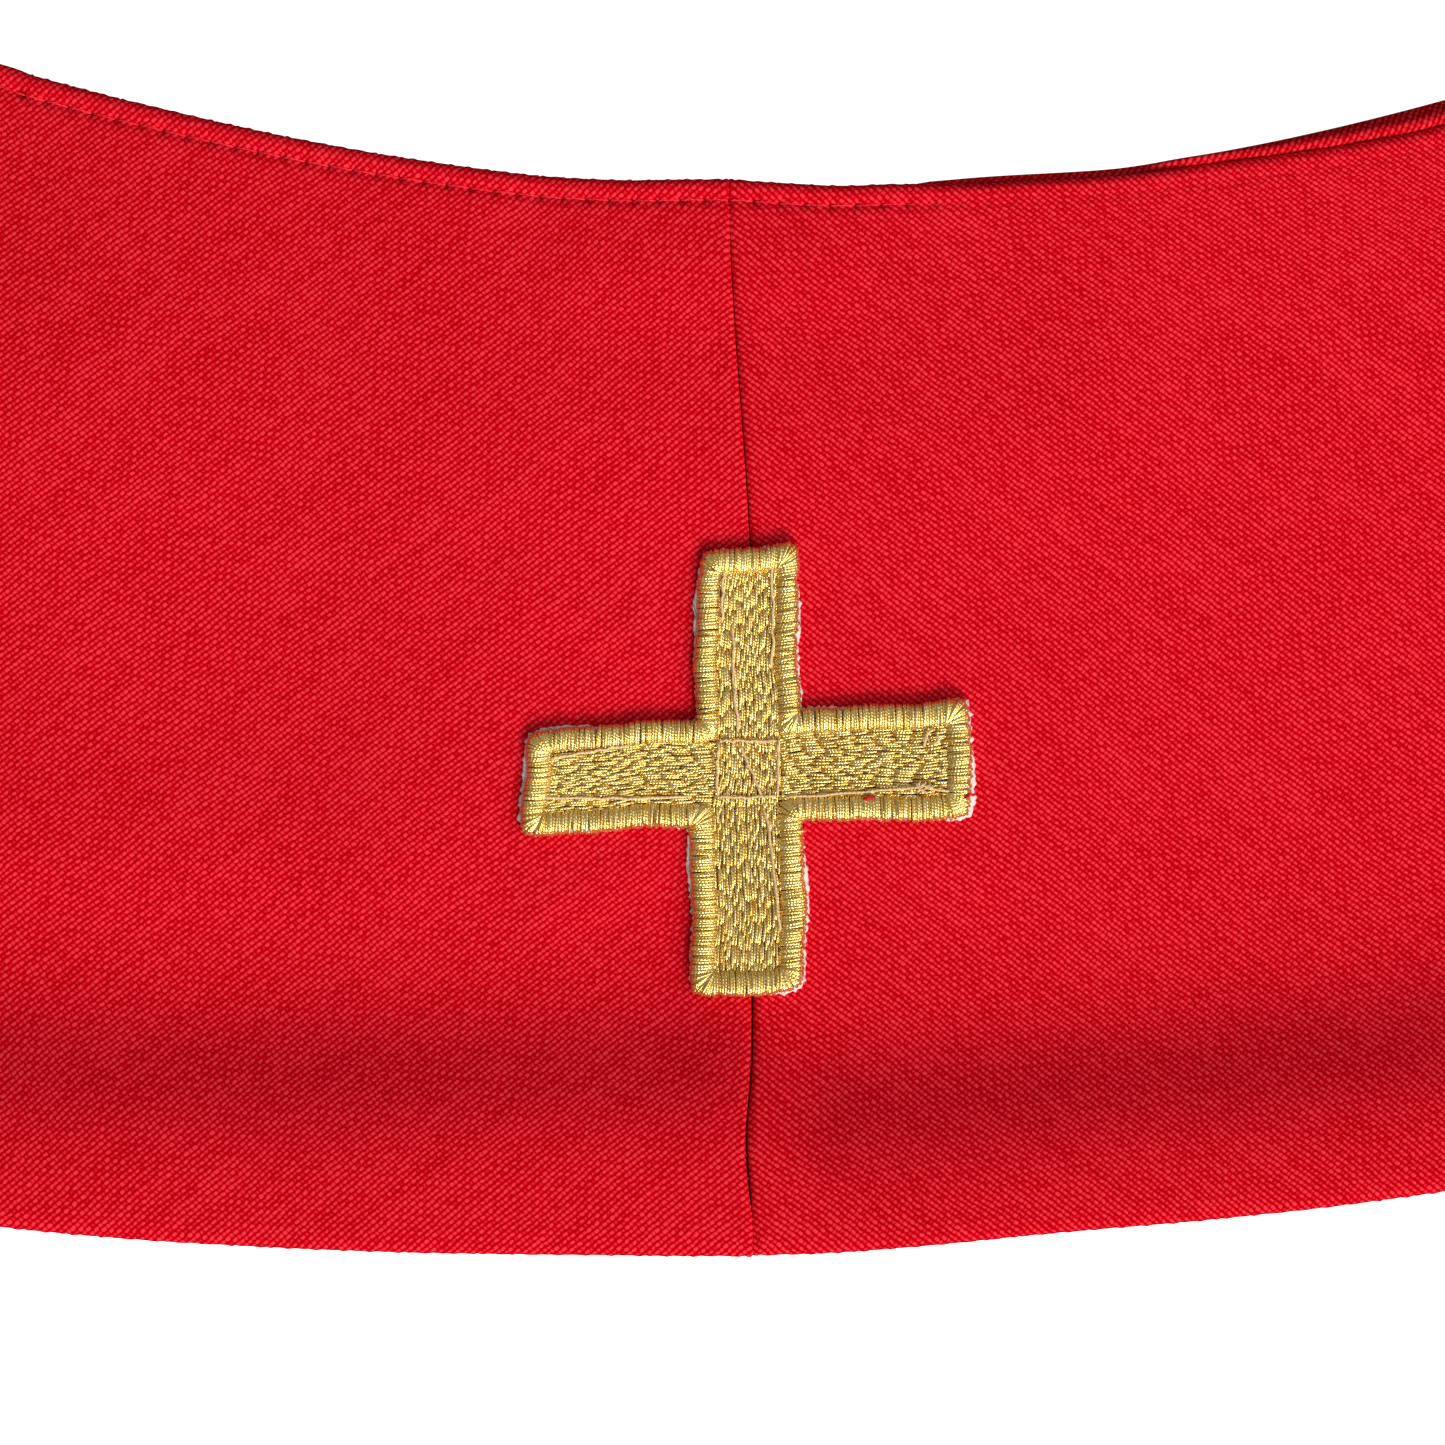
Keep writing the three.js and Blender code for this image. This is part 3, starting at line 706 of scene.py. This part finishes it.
slips = []
for word, side in (("left", -1), ("right", 1)):
    spots = np.arange(8, HALF_LENGTH - 6, SLIP_STITCH)
    begin, finish = [], []
    for edge in (-1, 1):
        inside = lining_edge(side, spots, edge * np.full(len(spots), LINING_REACH - 0.5))[0]
        outside = neck_edge(side, spots, edge * np.full(len(spots), LINING_REACH + 0.7))[0]
        if edge > 0:
            # Where the lining's edge is out past the face's, the stitch starts further in.
            inside = np.where(inside < outside, inside, outside - 1)
        begin.append(np.stack([side * (spots - 0.5), inside], -1))
        finish.append(np.stack([side * (spots + 0.5), outside], -1))
    rows = np.arange(-52, 53, SLIP_STITCH)
    begin.append(np.stack([np.full(len(rows), side * (LINING_END - 0.5)), rows], -1))
    finish.append(np.stack([np.full(len(rows), side * (LINING_END + 0.8)), rows + 0.8], -1))
    laid = stitches(np.concatenate(begin), np.concatenate(finish),
                    [0, 0.2, 0.55, 0.8, 1], [0.35, 0.12, 0.3, 0.62, 0.95])
    slips.append(tubes(f"slip_stitches_{word}", laid, FINE_THREAD_RADIUS, 5))

for thread, node_name in (
        (topstitching, "neck_topstitch_thread"), (seam_stitches, "centre_seam_thread"),
        (lining_stitches, "lining_seam_thread"), (slips[0], "lining_slipstitch_left"),
        (slips[1], "lining_slipstitch_right")):
    thread.data.materials.append(red_spun)
    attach(thread, "root")
    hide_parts(node_name)


# ---- Crosses -----------------------------------------------------------------------------------
# Three machine-embroidered crosses on pale felt, one at the nape and a larger one near each hem:
# a raised satin border in gold thread round filled arms, tacked down with a tan thread.

END_CROSS_ABOVE_HEM = 200
BACKING_FOOT = 3.42
BACKING_TOP = 4.1
SUNK = 0.28
NECK_CENTRE = (0.3, -6)
SATIN_PITCH = 0.31
SATIN_RADIUS = 0.2
FILLING_PITCH = 0.31
FILLING_RADIUS = 0.175
TAN_RADIUS = 0.155
SPECK_RADIUS = 0.16
STRAND_POINTS = 14
FELT_STEP = 0.28
QUARTER_TURN = np.array([[0, -1], [1, 0]])


def on_cloth(x, y, up):
    """A point over the laid cloth, at x and y from the neck point."""
    from_centre = BACK_RADIUS - y
    arm_along = ARM_START + y - ARM_Y
    along = np.where(y > ARM_Y, np.sign(x) * arm_along, BACK_RADIUS * np.arctan2(x, from_centre))
    across = np.where(y > ARM_Y, (ARM_X - np.abs(x)) * NECK_HALF_WIDTH / half_width(arm_along),
                      BACK_RADIUS - np.hypot(x, from_centre))
    return np.stack([x * MM, y * MM + neck_y, (up - SUNK + height(along, across)) * MM], -1)


class Cross:
    """One cross: its size, where it lies, and how its outline wanders."""

    def __init__(self, name, reach, arm, border, centre, widths, tilt, seed):
        self.name, self.reach, self.half, self.border = name, reach, arm / 2, border
        self.centre, self.widths, self.tilt = centre, widths, tilt
        self.phase = np.random.default_rng(seed).uniform(0, 2 * math.pi, 6)

    def place(self, x, y, up):
        """Pulls the even cross into its own slightly crooked outline, on the cloth."""
        root, reach = self.half, self.reach
        top, right, bottom, left = self.widths
        # Each arm's half width runs from its root to its tip; wide and tall are shares of the even one.
        out_y = np.clip((np.abs(y) - root) / (reach - root), 0, 1)
        out_x = np.clip((np.abs(x) - root) / (reach - root), 0, 1)
        upper, righter = ease(y, -root, root), ease(x, -root, root)
        wide = (top[0] + (top[1] - top[0]) * out_y) * upper
        wide = (wide + (bottom[0] + (bottom[1] - bottom[0]) * out_y) * (1 - upper)) / root
        tall = (right[0] + (right[1] - right[0]) * out_x) * righter
        tall = (tall + (left[0] + (left[1] - left[0]) * out_x) * (1 - righter)) / root
        beside_x = np.minimum(root / np.maximum(np.abs(x), root), 1)
        beside_y = np.minimum(root / np.maximum(np.abs(y), root), 1)
        new_x = x * np.where(np.abs(y) > np.abs(x), wide, 1 + (wide - 1) * beside_x)
        new_y = y * np.where(np.abs(x) > np.abs(y), tall, 1 + (tall - 1) * beside_y)
        # The outline wanders in long and short waves, in step with the size of the cross.
        big, phase = reach / 25, self.phase
        wander_x = 0.16 * np.sin(y / (3.1 * big) + phase[0]) + 0.08 * np.sin(y / (1.3 * big) + phase[1])
        wander_y = 0.16 * np.sin(x / (3.3 * big) + phase[2]) + 0.08 * np.sin(x / (1.4 * big) + phase[3])
        new_x = new_x + big * wander_x
        new_y = new_y + big * wander_y
        return on_cloth(self.centre[0] + new_x, self.centre[1] + new_y + self.tilt * x, up)

    def paths(self, start, end, shares, heights):
        spot = start[:, None] + (end - start)[:, None] * np.asarray(shares)[None, :, None]
        return self.place(spot[..., 0], spot[..., 1], np.broadcast_to(heights, spot.shape[:2]))

    def border_paths(self):
        """Satin stitches from the inner to the outer edge of the border, all the way round."""
        h, r, b = self.half, self.reach, self.border
        inner, outer = [], []
        sides = [(h - b, h, y) for y in np.arange(h, r - b, SATIN_PITCH)]
        for near, far, y in sides:
            inner.append((near, y))
            outer.append((far, y))
        fan = np.arange(SATIN_PITCH / b * 0.4, math.pi / 2, SATIN_PITCH / b * 0.8)
        for way in (1, -1):
            # At an outer corner the stitches fan from the corner of the filling.
            for turn in (fan if way > 0 else fan[::-1]):
                cos, sin = math.cos(turn), math.sin(turn)
                stretch = 1 / max(cos, sin) ** 0.6
                inner.append((way * (h - b - 0.12 * cos), r - b - 0.12 * sin))
                outer.append((way * (h - b + b * stretch * cos), r - b + b * stretch * sin))
            if way > 0:
                for x in np.arange(h - b, b - h - 0.01, -SATIN_PITCH):
                    inner.append((x, r - b))
                    outer.append((x, r))
        for near, far, y in sides[::-1]:
            inner.append((-near, y))
            outer.append((-far, y))
        for turn in fan:
            # At an inner corner they fan the other way, from the corner of the outline.
            cos, sin = math.cos(turn), math.sin(turn)
            stretch = 1 / max(cos, sin) ** 0.8
            inner.append((-h + b * stretch * cos, h - b * stretch * sin))
            outer.append((-h + 0.1 * cos, h - 0.1 * sin))
        inner, outer = np.array(inner), np.array(outer)
        # The same quarter is turned round to make all four arms.
        spins = [np.eye(2)]
        for _ in range(3):
            spins.append(spins[-1] @ QUARTER_TURN)
        inner = np.concatenate([inner @ spin for spin in spins])
        outer = np.concatenate([outer @ spin for spin in spins])
        inner = inner + rng.normal(0, 0.05, inner.shape)
        outer = outer + rng.normal(0, 0.08, outer.shape)
        crown = np.array([4.25, 4.82, 5.08, 5.17, 5.19, 5.13, 4.9, 4.4, 3.7])
        crown = BACKING_TOP + (crown - BACKING_TOP) * (1 + 0.09 * rng.normal(size=(len(inner), 1)))
        return self.paths(inner, outer, [-0.06, 0.05, 0.2, 0.4, 0.6, 0.8, 0.95, 1.03, 1.04], crown)

    def filling_paths(self):
        """Filling stitches along each arm and, upright, across the middle."""
        h, r, b = self.half, self.reach, self.border
        starts, ends = [], []
        columns = np.arange(0.12 - (h - b), h - b, FILLING_PITCH)
        spin = np.eye(2)
        for part in range(5):
            low, high = (h - b + 0.1, r - b + 0.25) if part < 4 else (b - h - 0.3, h - b + 0.3)
            for column in columns:
                at = low - rng.uniform(0, 2.2)
                while at < high:
                    length = rng.uniform(1.7, 2.8)
                    begin, finish = max(at, low - 0.2), min(at + length, high)
                    if finish - begin > 0.5:
                        wobble = rng.normal(0, 0.06, 2)
                        starts.append(np.array([column + wobble[0], begin]) @ spin)
                        ends.append(np.array([column + wobble[1], finish]) @ spin)
                    at += length - 0.1
            spin = spin @ QUARTER_TURN
        starts, ends = np.array(starts), np.array(ends)
        rise = np.array([4.2, 4.5, 4.64, 4.67, 4.58, 4.25]) + 0.06 * rng.normal(size=(len(starts), 1))
        return self.paths(starts, ends, [0, 0.09, 0.3, 0.7, 0.91, 1], rise)

    def backing(self):
        """Felt cut close to the border, its rough edge showing here and there."""
        h, r = self.half, self.reach
        corners = [(h, h), (h, r), (-h, r), (-h, h), (-r, h), (-r, -h),
                   (-h, -h), (-h, -r), (h, -r), (h, -h), (r, -h), (r, h)]
        outline = []
        for (x0, y0), (x1, y1) in zip(corners, corners[1:] + corners[:1]):
            steps = max(2, round(math.hypot(x1 - x0, y1 - y0) / FELT_STEP))
            for k in range(steps):
                outline.append((x0 + (x1 - x0) * k / steps, y0 + (y1 - y0) * k / steps))
        outline = np.array(outline)
        # How far the felt peeps out past the satin, in waves and with a ragged edge.
        way = np.arange(len(outline)) * FELT_STEP
        peek = 0.2 + 0.28 * np.sin(way / 5.3 + self.phase[4]) + 0.16 * np.sin(way / 2.1 + self.phase[5])
        peek = np.clip(peek, -0.2, 0.6) + 0.11 * rng.normal(size=len(way))
        along = np.roll(outline, -1, 0) - np.roll(outline, 1, 0)
        outward = np.stack([-along[:, 1], along[:, 0]], -1) / np.linalg.norm(along, axis=1, keepdims=True)
        outline = outline - outward * peek[:, None]
        # The tips of the arms are rounded like the satin border.
        size = np.abs(outline)
        b = self.border
        on_side_arm = size[:, 0] > size[:, 1]
        turned = np.stack([np.where(on_side_arm, r, h) - b, np.where(on_side_arm, h, r) - b], -1)
        past = size - turned
        far = np.linalg.norm(past, axis=1)
        limit = b * (far / np.maximum(past.max(1), 0.01)) ** 0.6 + np.maximum(peek, 0)
        at_tip = (past.min(1) > 0) & (size.min(1) > h - b)
        shrink = np.where(at_tip, np.minimum(limit / np.maximum(far, 0.01), 1), 1)
        outline = np.sign(outline) * (turned + past * shrink[:, None])
        points, faces = [], []
        rings = ((0.02, BACKING_FOOT), (0.7, BACKING_FOOT), (0.985, 3.45), (1.0, 3.6), (1.005, 3.8),
                 (0.995, 4.0), (0.98, 4.09), (0.7, BACKING_TOP), (0.02, BACKING_TOP))
        for scale, up in rings:
            ring = outline * scale + rng.normal(0, 0.05, outline.shape) * (scale > 0.9)
            points.append(self.place(ring[:, 0], ring[:, 1], np.full(len(ring), up)))
        count = len(outline)
        for k in range(len(rings) - 1):
            for j in range(count):
                after = (j + 1) % count
                here, above = k * count, (k + 1) * count
                faces.append((here + j, here + after, above + after, above + j))
        faces.append(tuple(range(count))[::-1])
        faces.append(tuple((len(rings) - 1) * count + j for j in range(count)))
        mesh = bpy.data.meshes.new(self.name + "_felt")
        mesh.from_pydata(np.concatenate(points), [], faces)
        felt = bpy.data.objects.new(self.name + "_felt", mesh)
        bpy.context.scene.collection.objects.link(felt)
        mesh.shade_smooth()
        bpy.ops.object.select_all(action="DESELECT")
        felt.select_set(True)
        bpy.context.view_layer.objects.active = felt
        bpy.ops.object.mode_set(mode="EDIT")
        bpy.ops.mesh.select_all(action="SELECT")
        bpy.ops.mesh.normals_make_consistent(inside=False)
        bpy.ops.object.mode_set(mode="OBJECT")
        return felt

    def strands(self, lines, up):
        """Long loose strands through the given points, measured from the middle of the cross."""
        paths = []
        for line in lines:
            line = np.array(line, float)
            way = np.concatenate([[0], np.cumsum(np.linalg.norm(np.diff(line, axis=0), axis=1))])
            share = np.linspace(0, way[-1], STRAND_POINTS)
            x, y = np.interp(share, way, line[:, 0]), np.interp(share, way, line[:, 1])
            x = x + 0.07 * rng.normal(size=STRAND_POINTS)
            y = y + 0.07 * rng.normal(size=STRAND_POINTS)
            z = up + 0.04 * rng.normal(size=STRAND_POINTS)
            # Both ends dive into the stitching.
            z[[0, -1]] -= 0.5
            paths.append(on_cloth(self.centre[0] + x, self.centre[1] + y, z))
        return paths


gold = spun("gold thread", (0.72, 0.43, 0.035), (0.99, 0.82, 0.38), 0.34, 0.014, 0.33, metal=0.9)
tan = spun("tan thread", (0.58, 0.36, 0.15), (0.86, 0.64, 0.34), 0.5, 0.02, 0.8)
pale_felt = bpy.data.materials.new("backing felt")
pale_felt.use_nodes = True
shader = pale_felt.node_tree.nodes["Principled BSDF"]
shader.inputs["Base Color"].default_value = (0.8, 0.64, 0.60, 1)
shader.inputs["Roughness"].default_value = 0.9

# Half widths of the top, right, bottom and left arm, each at its root and at its tip.
neck_widths = ((5.6, 5.3), (6.0, 6.5), (6.1, 6.1), (5.8, 5.7))
end_widths = ((9.6, 9.4), (9.5, 9.7), (9.4, 9.5), (9.6, 9.5))
end_y = ARM_Y + HALF_LENGTH - ARM_START - END_CROSS_ABOVE_HEM
crosses = [
    Cross("neck_cross", 24.9, 12.3, 2.45, NECK_CENTRE, neck_widths, 0.055, 3),
    Cross("left_end_cross", 40, 19, 3.2, (-ARM_X, end_y), end_widths, 0.01, 5),
    Cross("right_end_cross", 40, 19, 3.2, (ARM_X, end_y), end_widths, -0.012, 8)]
# Tan strands in millimetres from the middle of the nape's cross: round the centre square, then out
# along the arms. The loops are a thrown-off end and a fuzzy patch on the right arm.
tacks = [
    [(-3.3, 3.2), (-1.1, 3.3), (3.3, 3.2)], [(3.3, 3.2), (3.4, 0), (3.3, -2.9)],
    [(3.3, -2.9), (0, -3.0), (-3.3, -2.9)], [(-3.3, -2.9), (-3.4, 0.5), (-3.3, 3.2)],
    [(-1.1, 3.2), (0.2, 0.4), (1.6, -2.9)], [(-2.7, 22.8), (-2.8, 16.7)],
    [(-1.7, 16.6), (-1.6, 10), (-1.0, 4.1)], [(2.7, 24.7), (2.8, 18), (2.7, 11.1)],
    [(1.6, -3.3), (2.7, -8.1), (3.2, -14.8), (3.7, -18.3)],
    [(3.6, -3.0), (10, -2.6), (19.4, -1.9), (23.8, -2.7)],
    [(-22, 1.3), (-15.4, 2.4), (-13, 2.8)], [(-24.5, -3.0), (-16, -3.1), (-6.4, -3.0)]]
loops = [
    [(19.5, 2.6), (19.7, 3.9), (20.3, 4.6), (21.0, 4.3), (21.3, 3.5),
     (20.8, 2.9), (20.0, 3.1), (19.8, 4.0), (20.6, 4.7)],
    [(18.6, -1.5), (19.4, -2.3), (20.2, -1.6)], [(18.8, -2.4), (19.6, -1.4), (20.4, -2.2)],
    [(18.5, -2.0), (19.4, -1.7), (20.5, -2.0)], [(19.0, -1.3), (19.2, -2.1), (19.9, -2.5)]]
thread_ends = [[(12.9, -3.2), (13.9, -2.9)], [(24.0, -3.0), (25.2, -2.7)]]
specks = tubes("red_specks", crosses[0].strands(thread_ends, 5.3), SPECK_RADIUS)
specks.data.materials.append(red_spun)
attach(specks, "root")
for cross in crosses:
    felt = cross.backing()
    felt.data.materials.append(pale_felt)
    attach(felt, "root")
    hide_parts(cross.name + "_backing")
    border = tubes(cross.name + "_satin", cross.border_paths(), SATIN_RADIUS)
    filling = tubes(cross.name + "_filling", cross.filling_paths(), FILLING_RADIUS, 5)
    grown = 1 if cross.name == "neck_cross" else cross.reach / 25
    own, loose = [
        [[(x * grown, y * grown) for x, y in line] for line in lines] for lines in (tacks, loops)]
    tan_paths = cross.strands(own, 5.0) + cross.strands(loose, 5.35)
    tacking = tubes(cross.name + "_tacks", tan_paths, TAN_RADIUS)
    for thread, slot_name, paint, endings in (
            (border, "gold_thread", gold, ["_border"]),
            (filling, "gold_thread", gold,
             ["_fill_top", "_fill_bottom", "_fill_left", "_fill_right", "_centre"]),
            (tacking, "tan_thread", tan, ["_tacking"])):
        thread.data.materials.append(paint)
        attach(thread, "root")
        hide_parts(*[cross.name + ending for ending in endings])
